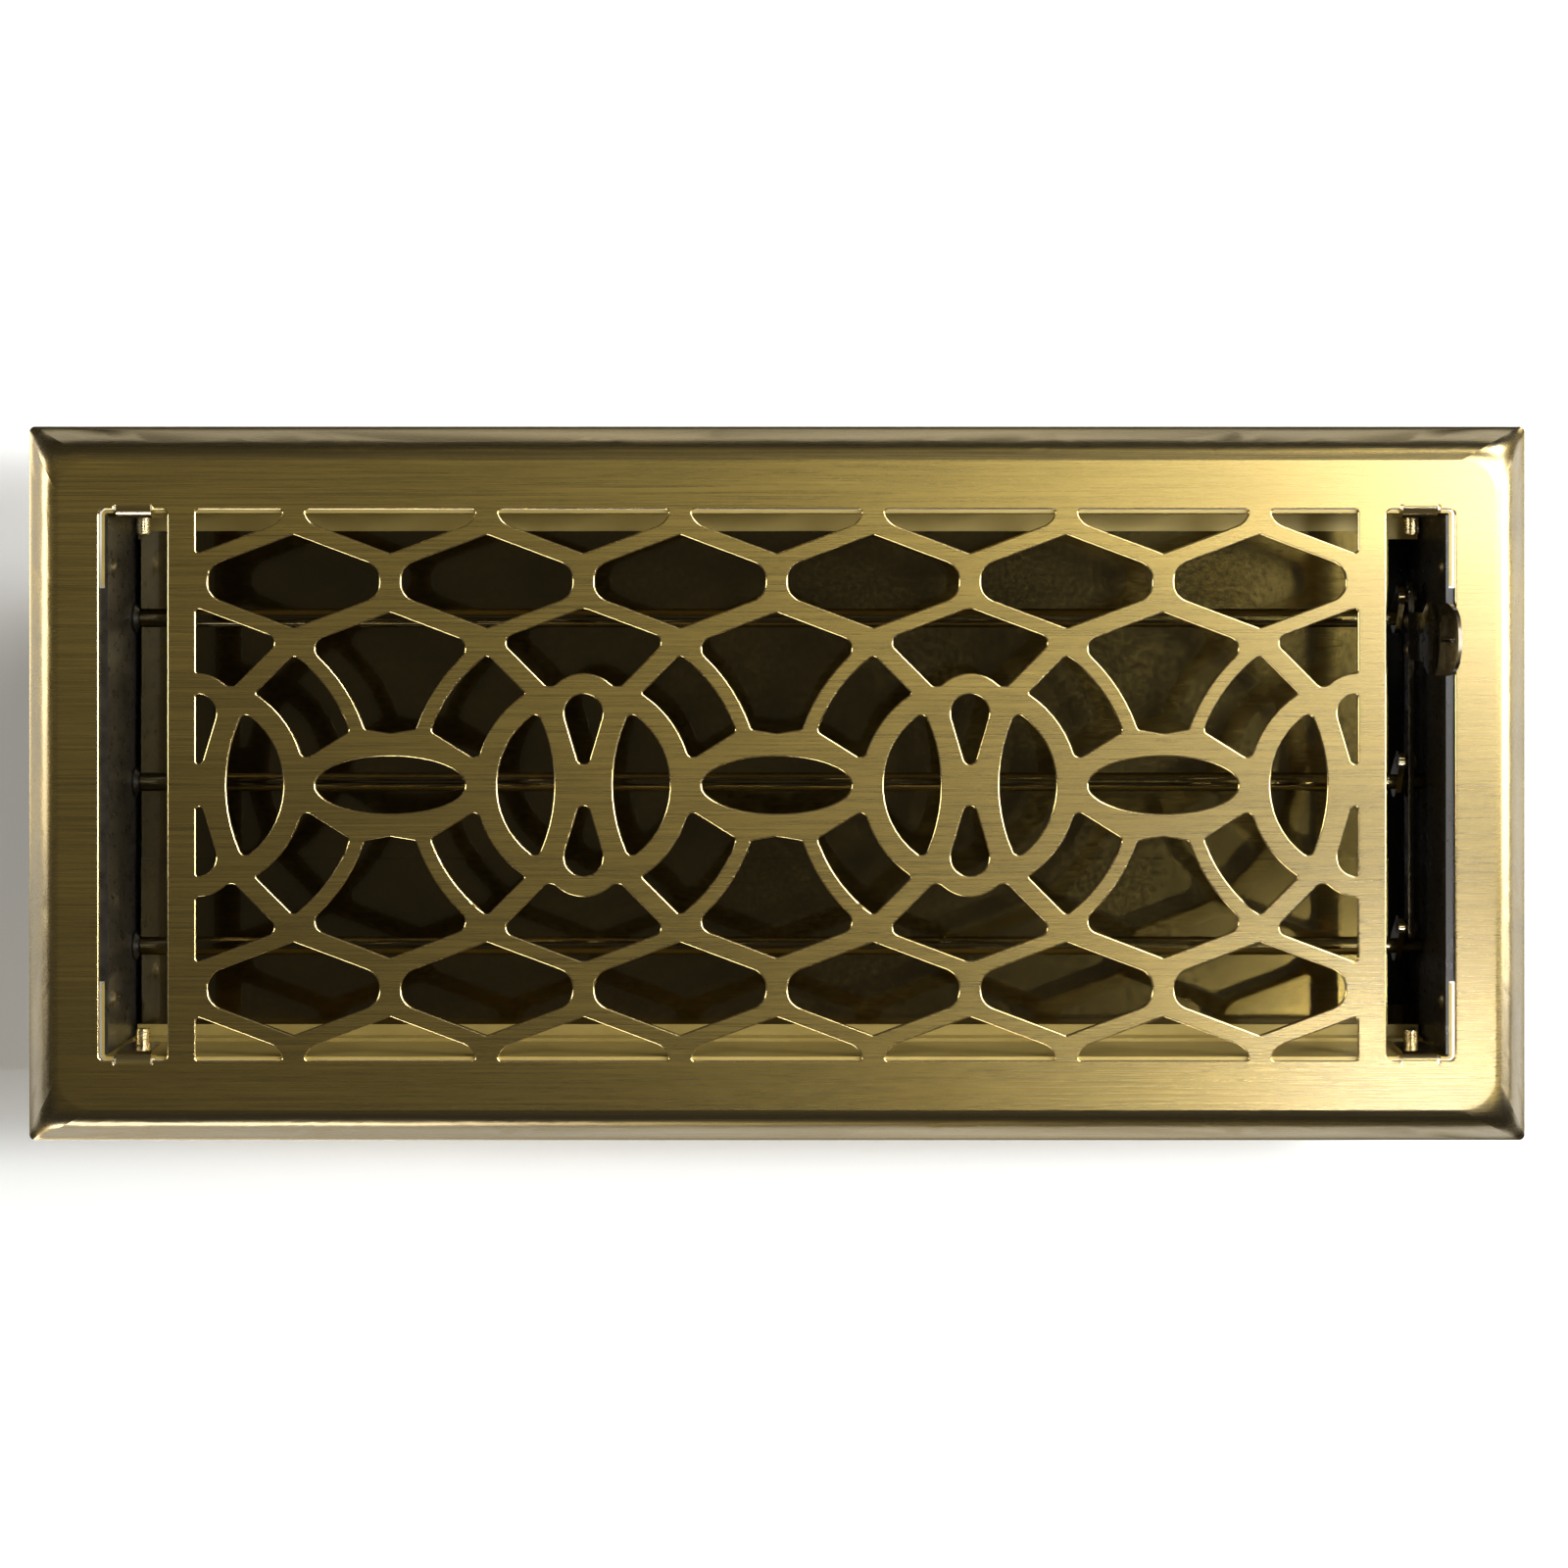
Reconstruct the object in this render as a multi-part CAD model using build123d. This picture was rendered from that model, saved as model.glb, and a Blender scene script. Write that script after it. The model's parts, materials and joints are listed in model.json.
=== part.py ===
from build123d import *
import os
from math import asin, cos, radians, sin, sqrt, tan

# Floor register, 6 x 14 in nominal: a pressed face plate with a cut lattice, a damper box
# below it, and three linked louvre blades worked by a thumb lever through the right-hand slot.
# Millimetres. X runs along the plate, +Y to the rear, +Z up. z = 0 is the foot of the box.

# ---- face plate
PLATE_LENGTH = 394.0
PLATE_WIDTH = 188.0
PLATE_SHEET = 1.2
RIM_WIDTH = 9.0
RIM_ANGLE = 48.0
RIM_FOLD_RADIUS = 7.0
RIM_CORNER_RADIUS = 1.5
FLAT_CORNER_RADIUS = 9.0
RIM_STEPS = 3
EDGE_ROUND = 0.4
PANEL_BORDER = 3.0

# ---- slots at both ends of the lattice, with the tabs bent down from their ends
SLOT_WIDTH = 18.0
SLOT_TO_RIM = 10.6
SLOT_CORNER_RADIUS = 1.6
SLOT_TO_LATTICE = 7.4
TAB_WIDTH = 9.0
TAB_BEND_RADIUS = 2.0
TAB_BEND_BACK = 1.0
TAB_BELOW_SCREW = 6.0
TAB_END_RADIUS = 3.0
TAB_RELIEF = 0.5

# ---- lattice window, and the motif that repeats about the ellipse centres
LATTICE_TO_EDGE = 21.9
LATTICE_PERIOD = 101.1
MOTIF_HALF_WIDTH = 72.1
LATTICE_PAST_EYE = 0.35
SMALLEST_HOLE_AREA = 40.0
CUT_CORNER_RADIUS = 0.8

# ---- damper box
BOX_WALL = 0.8
BOX_HEIGHT = 61.8
END_WALL_TO_SLOT_EDGE = 2.2
END_LIP = 3.0
END_LIP_GAP = 0.5
TAB_TO_WALL = 0.1
BOX_BEND_RADIUS = 1.4
FOOT_FLANGE = 5.0
CORNER_FLANGE = 20.0
TAB_NOTCH_GAP = 1.0
TAB_NOTCH_DROP = 0.3

# ---- louvre blades
BLADE_COUNT = 3
BLADE_SHEET = 0.6
BLADE_LAP = 2.6
BLADE_STEP = 0.1
BLADE_LEFT_GAP = 1.9
BLADE_RIGHT_GAP = 9.2
FRONT_EDGE_GAP = 1.4
REAR_EDGE_GAP = 4.6
PIVOT_HEIGHT = 28.0
ROD_DIAMETER = 4.0
ROD_CLEARANCE = 0.05
ROD_OVERHANG = 1.2
ROD_CHAMFER = 0.3

# ---- closing stops at the two outer blade edges
STOP_SHEET = 0.8
STOP_LAP = 2.2
STOP_LEG = 7.0
STOP_GAP = 0.3
STOP_END_GAP = 1.0

# ---- retainers and friction washers on the rods
RETAINER_DIAMETER = 8.0
RETAINER_SHEET = 0.5
RETAINER_GAP = 0.1
RETAINER_TO_FLANGE = 0.5
WASHER_DIAMETER = 8.0
WASHER_SHEET = 0.35
WASHER_GAP = 0.2

# ---- cranks, tie bar and their pins
CRANK_RADIUS = 8.0
CRANK_ANGLE = 45.0
CRANK_SHEET = 1.5
CRANK_HUB_RADIUS = 4.2
CRANK_TIP_RADIUS = 3.2
CRANK_FROM_BLADE = 1.6
BAR_FROM_CRANK = 1.0
BAR_SHEET = 1.5
BAR_HEIGHT = 6.0
BAR_END = 4.5
PIN_DIAMETER = 3.0
PIN_CLEARANCE = 0.05
OPEN_PIN_CLEARANCE = 0.15
PIN_HEAD_DIAMETER = 4.5
PIN_HEAD = 0.8
PIN_HEAD_GAP = 0.1

# ---- lever
LEVER_FROM_PIN = 10.4
LEVER_SHEET = 1.2
STEM_WIDTH = 13.0
STEM_SHOULDER = 18.0
STEM_FLARE = 6.0
TONGUE_WIDTH = 19.0
TONGUE_LENGTH = 9.0
TONGUE_LEAN = 25.0
TONGUE_BOW = 0.8
TONGUE_CORNER_RADIUS = 4.5
TONGUE_BULGE = 1.4
TONGUE_BEND_RADIUS = 2.0
RIB_WIDTH = 1.6
RIB_LENGTH = 6.0
RIB_FROM_TIP = 1.6
LEVER_RIVET_DIAMETER = 2.5
LEVER_RIVET_HEAD_DIAMETER = 4.2
LEVER_RIVET_HEAD = 0.6
LEVER_RIVET_PITCH = 8.0

# ---- screws and rivets of the box
SCREW_DIAMETER = 4.0
SCREW_LENGTH = 6.5
SCREW_BELOW_FACE = 13.0
SCREW_HEAD_DIAMETER = 7.6
SCREW_HEAD = 2.4
SCREW_HEAD_ROUND = 1.2
RECESS_LENGTH = 4.4
RECESS_WIDTH = 0.9
RECESS_DEPTH = 1.3
TAPPED_CLEARANCE = 0.05
SCREW_CLEARANCE = 0.2
RIVET_DIAMETER = 3.0
RIVET_HEAD_DIAMETER = 5.0
RIVET_HEAD = 1.0
RIVET_TAIL = 0.6
RIVET_FROM_CORNER = 15.0
RIVET_FROM_EDGE = 6.0

# ---- levels and stations that follow
FACE_UNDER = BOX_HEIGHT
FACE_TOP = FACE_UNDER + PLATE_SHEET
SLOT_OUTER = PLATE_LENGTH / 2 - RIM_WIDTH - SLOT_TO_RIM
SLOT_INNER = SLOT_OUTER - SLOT_WIDTH
SLOT_CENTRE = (SLOT_OUTER + SLOT_INNER) / 2
LATTICE_END = SLOT_INNER - SLOT_TO_LATTICE
LATTICE_SIDE = PLATE_WIDTH / 2 - LATTICE_TO_EDGE
TAB_BEND_START = LATTICE_SIDE + TAB_BEND_BACK
TAB_BACK = TAB_BEND_START - TAB_BEND_RADIUS
SCREW_LEVEL = FACE_TOP - SCREW_BELOW_FACE
SIDE_INNER = TAB_BACK + TAB_TO_WALL
SIDE_OUTER = SIDE_INNER + BOX_WALL
END_INNER = SLOT_OUTER - END_WALL_TO_SLOT_EDGE
END_OUTER = END_INNER + BOX_WALL
BLADE_PITCH = (2 * SIDE_INNER - FRONT_EDGE_GAP - REAR_EDGE_GAP - BLADE_LAP) / BLADE_COUNT
BLADE_HALF = (BLADE_PITCH + BLADE_LAP) / 2
BLADE_LEFT = -END_INNER + BLADE_LEFT_GAP
BLADE_RIGHT = END_INNER - BLADE_RIGHT_GAP
REAR_PIVOT = SIDE_INNER - REAR_EDGE_GAP - BLADE_HALF
PIVOTS = [REAR_PIVOT - i * BLADE_PITCH for i in range(BLADE_COUNT)]
ROD_RADIUS = ROD_DIAMETER / 2
PIN_OFFSET_Y = CRANK_RADIUS * cos(radians(CRANK_ANGLE))
PIN_OFFSET_Z = CRANK_RADIUS * sin(radians(CRANK_ANGLE))
PIN_LEVEL = PIVOT_HEIGHT + PIN_OFFSET_Z
CRANK_X = BLADE_RIGHT + CRANK_FROM_BLADE
BAR_X = CRANK_X + CRANK_SHEET + BAR_FROM_CRANK
STEM_X = BAR_X + BAR_SHEET
LEVER_Y = PIVOTS[0] + PIN_OFFSET_Y - LEVER_FROM_PIN
OPEN_PINS = (0, BLADE_COUNT - 1)
RIVET_Y = SIDE_OUTER - RIVET_FROM_CORNER
RIVET_LEVELS = (RIVET_FROM_EDGE, BOX_HEIGHT - RIVET_FROM_EDGE)


def along_x(outline, start, length):
    """A solid whose YZ outline runs from x = start towards +X."""
    return extrude(Plane.YZ.offset(start) * outline, length)


def along_y(outline, start, length):
    """A solid whose XZ outline runs from y = start towards +Y."""
    return extrude(Plane.XZ.offset(-start) * outline, -length)


def block(low, high):
    """A box between two corners."""
    size = [b - a for a, b in zip(low, high)]
    centre = [(a + b) / 2 for a, b in zip(low, high)]
    return Pos(*centre) * Box(*size)


def rounded(outline, corners):
    """The outline with each named corner rounded; corners holds (x, y, radius)."""
    for x, y, radius in corners:
        nearest = outline.vertices().sort_by_distance((x, y, 0))[0]
        outline = fillet(nearest, radius)
    return outline


def polygon(*points):
    """A flat face through the points, in order."""
    return make_face(Polyline(*points, close=True))


# ---------------------------------------------------------------- lattice motif
EYE = LATTICE_PERIOD / 2
ARCH_CENTRE = 18.8
ARCH_RADIUS = 10.5


def hexagon():
    """A flattened hexagon with blunt ends, centred on the origin."""
    half_length, half_height, shoulder = 22.4, 12.2, 3.8
    end_radius, apex_radius = 5.0, 0.7
    points = [(0, half_height), (half_length, shoulder), (half_length, -shoulder)]
    points += [(-x, -y) for x, y in points]
    ends = [(x, y, end_radius) for x, y in points if x != 0]
    apexes = [(x, y, apex_radius) for x, y in points if x == 0]
    return rounded(polygon(*points), ends + apexes)


def vase():
    """The vase above each ellipse: sloping shoulders, and sides hollowed round both eyes."""
    apex, slope, reach = 45.2, 0.38, 30.0
    side_radius, bottom, bottom_slope = 46.3, 13.5, 0.166
    outline = polygon(
        (0, apex),
        (reach, apex - slope * reach),
        (reach, bottom + bottom_slope * reach),
        (0, bottom),
        (-reach, bottom + bottom_slope * reach),
        (-reach, apex - slope * reach),
    )
    for side in (1, -1):
        outline -= Pos(side * EYE, 0) * Circle(side_radius)
    shoulders = [(side * 22.3, 36.7, 3.0) for side in (1, -1)]
    foot = [(side * 6.6, 14.6, 0.8) for side in (1, -1)]
    return rounded(outline, shoulders + foot + [(0, apex, 1.2)])


def shield():
    """The shield over each eye's arch."""
    apex, slope, reach = 46.3, 0.374, 21.9
    ledge, foot_reach = 25.9, 9.75
    shoulder = apex - slope * reach
    outline = polygon(
        (EYE, apex),
        (EYE + reach, shoulder),
        (EYE + foot_reach, ledge),
        (EYE - foot_reach, ledge),
        (EYE - reach, shoulder),
    )
    outline -= Pos(EYE, ARCH_CENTRE) * Circle(ARCH_RADIUS)
    arch_foot = sqrt(ARCH_RADIUS**2 - (ledge - ARCH_CENTRE) ** 2)
    corners = [(EYE, apex, 4.0)]
    for side in (1, -1):
        corners.append((EYE + side * reach, shoulder, 2.2))
        corners.append((EYE + side * foot_reach, ledge, 1.5))
        corners.append((EYE + side * arch_foot, ledge, 2.2))
    return rounded(outline, corners)


def kite():
    """The kite between an ellipse and the eye to its right, in the upper half."""
    outer_radius, inner_radius = 42.3, 28.4
    across = polygon((5.0, 54.3), (55.0, 4.3), (32.5, 0.37), (2.5, 19.17))
    ring = Pos(EYE, 0) * (Circle(outer_radius) - Circle(inner_radius))
    corners = [(25.3, 33.9, 1.2), (35.2, 24.1, 0.5), (20.6, 7.7, 1.7), (10.8, 14.0, 1.2)]
    return rounded(across & ring, corners)


def lens():
    """The lens between an ellipse and the eye to its right."""
    eye_radius, ellipse_radius, tip_radius = 22.6, 42.9, 1.6
    outline = Pos(EYE, 0) * Circle(eye_radius) & Circle(ellipse_radius)
    tips = [(36.9, side * 18.0, tip_radius) for side in (1, -1)]
    return rounded(outline, tips)


def teardrop():
    """The teardrop under each arch, pointing at the middle of the eye."""
    head_radius, tip_radius, tip = 5.0, 1.7, 7.2
    head = Pos(EYE, ARCH_CENTRE) * Circle(head_radius)
    point = Pos(EYE, tip) * Circle(tip_radius)
    return make_hull([head.edge(), point.edge()])


def motif():
    """All holes of one period, with the half hexagons and arches of both neighbouring eyes."""
    upper = [Pos(0, 72.8) * hexagon(), vase(), Pos(EYE, 72.8) * hexagon()]
    upper += [Pos(side * EYE / 2, 53.3) * hexagon() for side in (1, -1)]
    upper += [shield(), teardrop(), kite(), mirror(kite(), about=Plane.YZ)]
    middle = [lens(), mirror(lens(), about=Plane.YZ), Ellipse(19.6, 7.5)]
    lower = [mirror(hole, about=Plane.XZ) for hole in upper]
    return upper + middle + lower


def eased(hole):
    """The hole with its sharp corners rounded, by shrinking it and growing it back."""
    return offset(offset(hole, -CUT_CORNER_RADIUS), CUT_CORNER_RADIUS)


def lattice_fit():
    """How many periods fill the window, and the scale that makes them end at its ends or sides."""
    window_shape = LATTICE_END / LATTICE_SIDE
    columns = round(2 * window_shape * MOTIF_HALF_WIDTH / LATTICE_PERIOD)
    pattern_end = columns * LATTICE_PERIOD / 2 + LATTICE_PAST_EYE
    return columns, min(LATTICE_END / pattern_end, LATTICE_SIDE / MOTIF_HALF_WIDTH)


def lattice_holes():
    """The holes of the whole window, cut off at its edges."""
    columns, size = lattice_fit()
    pitch = LATTICE_PERIOD * size
    end = (columns * LATTICE_PERIOD / 2 + LATTICE_PAST_EYE) * size
    side = MOTIF_HALF_WIDTH * size
    window = Rectangle(2 * end, 2 * side)
    shapes = [scale(hole, by=size) for hole in motif()]
    holes = []
    for column in range(-1, columns + 1):
        for shape in shapes:
            placed = Pos((column - (columns - 1) / 2) * pitch, 0) * shape
            low, high = placed.bounding_box().min, placed.bounding_box().max
            if low.X > end or high.X < -end:
                continue
            inside = low.X > -end and high.X < end
            if inside and high.Y < side and low.Y > -side:
                holes.append(placed)
                continue
            for part in (placed & window).faces():
                if part.area > SMALLEST_HOLE_AREA:
                    holes.append(eased(part))
    return holes


# ---------------------------------------------------------------- face plate
def rim_section(sheet_depth, angle):
    """Inset from the plate's edge and height of the rolled rim, on the fold, at one angle."""
    radius = RIM_FOLD_RADIUS - sheet_depth
    inset = RIM_WIDTH - radius * sin(radians(angle))
    height = FACE_TOP - RIM_FOLD_RADIUS + radius * cos(radians(angle))
    return inset, height


def rim_foot(sheet_depth, height):
    """Inset of the rim's straight flank at a height below the fold."""
    inset, fold_height = rim_section(sheet_depth, RIM_ANGLE)
    return inset - (fold_height - height) / tan(radians(RIM_ANGLE))


FOLD_INSET, FOLD_HEIGHT = rim_section(0, RIM_ANGLE)
RIM_BOTTOM = FOLD_HEIGHT - FOLD_INSET * tan(radians(RIM_ANGLE))


def rim_corner(outer_inset):
    """The plan radius of the corner where the outer skin has this inset."""
    share = max(outer_inset, 0) / RIM_WIDTH
    return RIM_CORNER_RADIUS + share * (FLAT_CORNER_RADIUS - RIM_CORNER_RADIUS)


def rim_body(sheet_depth, bottom):
    """The rim's outer skin, or the hollow one sheet inside it, as a solid down to bottom."""
    sections = [(rim_foot(0, bottom), rim_foot(sheet_depth, bottom), bottom)]
    for step in range(RIM_STEPS + 1):
        angle = RIM_ANGLE * (1 - step / RIM_STEPS)
        outer_inset = rim_section(0, angle)[0]
        sections.append((outer_inset, *rim_section(sheet_depth, angle)))
    outlines = []
    for outer_inset, inset, height in sections:
        corner = max(rim_corner(outer_inset) - (inset - outer_inset), RIM_CORNER_RADIUS / 3)
        length, width = PLATE_LENGTH - 2 * inset, PLATE_WIDTH - 2 * inset
        outlines.append(Pos(0, 0, height) * RectangleRounded(length, width, corner))
    return loft(outlines)


def slot_outline(side):
    """One end slot with the wider mouths that the bent tabs leave."""
    slot = Pos(side * SLOT_CENTRE, 0) * RectangleRounded(
        SLOT_WIDTH, 2 * LATTICE_SIDE, SLOT_CORNER_RADIUS
    )
    mouth = Rectangle(TAB_WIDTH + 2 * TAB_RELIEF, 2 * TAB_BEND_START)
    mouth = fillet(mouth.vertices(), TAB_RELIEF / 2)
    return slot + Pos(side * SLOT_CENTRE, 0) * mouth


def tab(side, end):
    """A tab bent down from one end of a slot, tapped for a box screw."""
    low_end = SCREW_LEVEL - TAB_BELOW_SCREW
    bend = FACE_UNDER - TAB_BEND_RADIUS
    reach = PLATE_SHEET
    flat = Rectangle(TAB_WIDTH, bend - low_end)
    flat = fillet(flat.vertices().group_by(Axis.Y)[0], TAB_END_RADIUS)
    leg = Pos(side * SLOT_CENTRE, 0) * along_y(
        Pos(0, (bend + low_end) / 2) * flat, TAB_BACK - PLATE_SHEET, PLATE_SHEET
    )
    ring = Circle(TAB_BEND_RADIUS + PLATE_SHEET) - Circle(TAB_BEND_RADIUS)
    quarter = ring & Pos(-10, 10) * Rectangle(20, 20)
    fold = along_x(Pos(TAB_BEND_START, bend) * quarter, side * SLOT_CENTRE - TAB_WIDTH / 2, TAB_WIDTH)
    root_start = (side * SLOT_CENTRE - TAB_WIDTH / 2, TAB_BEND_START, FACE_UNDER)
    root_end = (side * SLOT_CENTRE + TAB_WIDTH / 2, TAB_BEND_START + reach, FACE_TOP)
    tapped = Circle(SCREW_DIAMETER / 2 + TAPPED_CLEARANCE)
    hole = along_y(Pos(side * SLOT_CENTRE, SCREW_LEVEL) * tapped, 0, LATTICE_SIDE)
    bent = leg + fold + block(root_start, root_end) - hole
    return bent if end > 0 else mirror(bent, about=Plane.XZ)


def panel():
    """The flat middle of the plate, with every hole and its rounded upper edge."""
    half_length, half_width = SLOT_OUTER + PANEL_BORDER, TAB_BEND_START + PANEL_BORDER
    blank = block((-half_length, -half_width, FACE_UNDER), (half_length, half_width, FACE_TOP))
    openings = lattice_holes() + [slot_outline(side) for side in (1, -1)]
    plate = blank - [extrude(Pos(0, 0, FACE_UNDER - 1) * hole, PLATE_SHEET + 2) for hole in openings]
    top = plate.edges().group_by(Axis.Z)[-1]
    hole_edges = [edge for edge in top if not on_outline(edge, half_length, half_width)]
    return blank, fillet(hole_edges, EDGE_ROUND)


def on_outline(edge, half_length, half_width):
    """Whether an edge belongs to the blank's own outline."""
    centre = edge.center()
    return abs(centre.X) > half_length - 1e-4 or abs(centre.Y) > half_width - 1e-4


def face_plate():
    rim = rim_body(0, RIM_BOTTOM) - rim_body(PLATE_SHEET, RIM_BOTTOM - PLATE_SHEET)
    blank, middle = panel()
    plate = rim - blank + middle
    for side in (1, -1):
        for end in (1, -1):
            plate += tab(side, end)
    return plate


# ---------------------------------------------------------------- damper box
def side_wall():
    """The rear side wall: a sheet with its ends folded round the end walls and a foot flange."""
    plan = Rectangle(2 * (END_OUTER + BOX_WALL), CORNER_FLANGE)
    plan = fillet(plan.vertices().group_by(Axis.Y)[-1], BOX_BEND_RADIUS)
    inside = Rectangle(2 * END_OUTER, CORNER_FLANGE)
    inside = fillet(inside.vertices().group_by(Axis.Y)[-1], BOX_BEND_RADIUS - BOX_WALL)
    plan -= Pos(0, -BOX_WALL) * inside
    wall = extrude(Pos(0, SIDE_OUTER - CORNER_FLANGE / 2) * plan, BOX_HEIGHT)
    wall += block((-END_INNER, SIDE_INNER - FOOT_FLANGE, 0), (END_INNER, SIDE_INNER, BOX_WALL))
    half_notch = TAB_WIDTH / 2 + TAB_NOTCH_GAP
    notch_floor = BOX_HEIGHT - TAB_BEND_RADIUS - TAB_NOTCH_DROP
    screw_hole = Circle(SCREW_DIAMETER / 2 + SCREW_CLEARANCE)
    for side in (1, -1):
        x = side * SLOT_CENTRE
        wall -= block(
            (x - half_notch, SIDE_INNER - 1, notch_floor), (x + half_notch, SIDE_OUTER + 1, FACE_TOP)
        )
        wall -= along_y(Pos(x, SCREW_LEVEL) * screw_hole, SIDE_INNER - 1, BOX_WALL + 2)
        for level in RIVET_LEVELS:
            hole = Pos(RIVET_Y, level) * Circle(RIVET_DIAMETER / 2)
            wall -= along_x(hole, side * (END_OUTER + BOX_WALL / 2) - 1, 2)
        for pivot in PIVOTS:
            for y in (pivot, -pivot):
                clear = Pos(y, PIVOT_HEIGHT) * Circle(RETAINER_DIAMETER / 2 + RETAINER_TO_FLANGE)
                wall -= along_x(clear, side * (END_OUTER + BOX_WALL / 2) - 1, 2)
    return wall


def end_wall():
    """The right end wall, with a rod hole for each blade and a lip out under the face plate."""
    half_width = SIDE_INNER - (BOX_BEND_RADIUS - BOX_WALL)
    wall = block((END_INNER, -half_width, 0), (END_OUTER, half_width, BOX_HEIGHT))
    flange_end = SIDE_INNER - FOOT_FLANGE
    wall += block((END_INNER - FOOT_FLANGE, -flange_end, 0), (END_INNER, flange_end, BOX_WALL))
    lip_end = SIDE_OUTER - CORNER_FLANGE - END_LIP_GAP
    wall += block(
        (END_OUTER, -lip_end, BOX_HEIGHT - BOX_WALL), (END_OUTER + END_LIP, lip_end, BOX_HEIGHT)
    )
    rod_hole = Circle(ROD_RADIUS + ROD_CLEARANCE)
    for pivot in PIVOTS:
        wall -= along_x(Pos(pivot, PIVOT_HEIGHT) * rod_hole, END_INNER - 1, BOX_WALL + 2)
    for y in (RIVET_Y, -RIVET_Y):
        for level in RIVET_LEVELS:
            hole = Pos(y, level) * Circle(RIVET_DIAMETER / 2)
            wall -= along_x(hole, END_INNER - 1, BOX_WALL + 2)
    return wall


def closing_stop(end):
    """An angle along one side wall: over the front blade's edge, or under the rear blade's."""
    length = 2 * (END_INNER - STOP_END_GAP)
    if end > 0:
        top = PIVOT_HEIGHT + BLADE_STEP - STOP_GAP
        edge = PIVOTS[0] + BLADE_HALF - STOP_LAP
        ledge = (edge, top - STOP_SHEET, SIDE_INNER, top)
        leg = (SIDE_INNER - STOP_SHEET, top - STOP_LEG, SIDE_INNER, top)
    else:
        low = PIVOT_HEIGHT - BLADE_STEP + STOP_GAP
        edge = PIVOTS[-1] - BLADE_HALF + STOP_LAP
        ledge = (-SIDE_INNER, low, edge, low + STOP_SHEET)
        leg = (-SIDE_INNER, low, -SIDE_INNER + STOP_SHEET, low + STOP_LEG)
    angle = Part()
    for y0, z0, y1, z1 in (ledge, leg):
        angle += block((-length / 2, y0, z0), (length / 2, y1, z1))
    return angle


def box_screw():
    """A pan-head machine screw with a cross recess, its head seat at the origin, along -Y."""
    head = Pos(0, 0, SCREW_HEAD / 2) * Cylinder(SCREW_HEAD_DIAMETER / 2, SCREW_HEAD)
    head = fillet(head.edges().group_by(Axis.Z)[-1], SCREW_HEAD_ROUND)
    for size in ((RECESS_LENGTH, RECESS_WIDTH), (RECESS_WIDTH, RECESS_LENGTH)):
        head -= Pos(0, 0, SCREW_HEAD - RECESS_DEPTH / 2) * Box(*size, RECESS_DEPTH)
    shank = Pos(0, 0, -SCREW_LENGTH / 2) * Cylinder(SCREW_DIAMETER / 2, SCREW_LENGTH)
    shank = chamfer(shank.edges().group_by(Axis.Z)[0], ROD_CHAMFER)
    return Rot(-90, 0, 0) * (head + shank)


def box_screws():
    screws = []
    for side in (1, -1):
        for end in (1, -1):
            turn = 0 if end > 0 else 180
            place = Pos(side * SLOT_CENTRE, end * SIDE_OUTER, SCREW_LEVEL) * Rot(0, 0, turn)
            screws.append(place * box_screw())
    return Compound(children=screws)


def cap_arc(rim_x, radius, height, side):
    """The arc of a low domed head, from its rim at rim_x to its crown on the X axis."""
    sphere = (radius**2 + height**2) / (2 * height)
    half_angle = asin(radius / sphere) / 2
    middle = height - sphere * (1 - cos(half_angle))
    return ThreePointArc(
        (rim_x, radius),
        (rim_x + side * middle, sphere * sin(half_angle)),
        (rim_x + side * height, 0),
    )


def domed_rivet(near, far, shank, head, near_height, far_height):
    """A rivet along X through the sheets between near and far, domed at both ends."""
    outline = Polyline((near, head / 2), (near, shank / 2), (far, shank / 2), (far, head / 2))
    outline += cap_arc(near, head / 2, near_height, -1) + cap_arc(far, head / 2, far_height, 1)
    outline += Line((near - near_height, 0), (far + far_height, 0))
    return revolve(make_face(outline), Axis.X, 360)


def corner_rivets():
    rivet = domed_rivet(
        END_INNER, END_OUTER + BOX_WALL, RIVET_DIAMETER, RIVET_HEAD_DIAMETER, RIVET_HEAD, RIVET_TAIL
    )
    rivets = []
    for y in (RIVET_Y, -RIVET_Y):
        for level in RIVET_LEVELS:
            placed = Pos(0, y, level) * rivet
            rivets += [placed, mirror(placed, about=Plane.YZ)]
    return Compound(children=rivets)


# ---------------------------------------------------------------- blades
def louvre(pivot):
    """A blade: two flat halves, stepped apart so neighbours lap, with a bead round the rod."""
    bead_radius = ROD_RADIUS + BLADE_SHEET
    low = -BLADE_STEP - BLADE_SHEET
    bead = Circle(bead_radius) & Pos(0, low + bead_radius) * Rectangle(
        2 * bead_radius, 2 * bead_radius
    )
    half = BLADE_HALF / 2
    rear = Pos(half, BLADE_STEP + BLADE_SHEET / 2) * Rectangle(BLADE_HALF, BLADE_SHEET)
    front = Pos(-half, -BLADE_STEP - BLADE_SHEET / 2) * Rectangle(BLADE_HALF, BLADE_SHEET)
    profile = bead + rear + front - Circle(ROD_RADIUS)
    return along_x(Pos(pivot, PIVOT_HEIGHT) * profile, BLADE_LEFT, BLADE_RIGHT - BLADE_LEFT)


def pivot_rod(pivot):
    end = END_OUTER + ROD_OVERHANG
    rod = along_x(Circle(ROD_RADIUS), -end, 2 * end)
    ends = rod.edges().filter_by(GeomType.CIRCLE)
    return Pos(0, pivot, PIVOT_HEIGHT) * chamfer(ends, ROD_CHAMFER)


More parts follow.
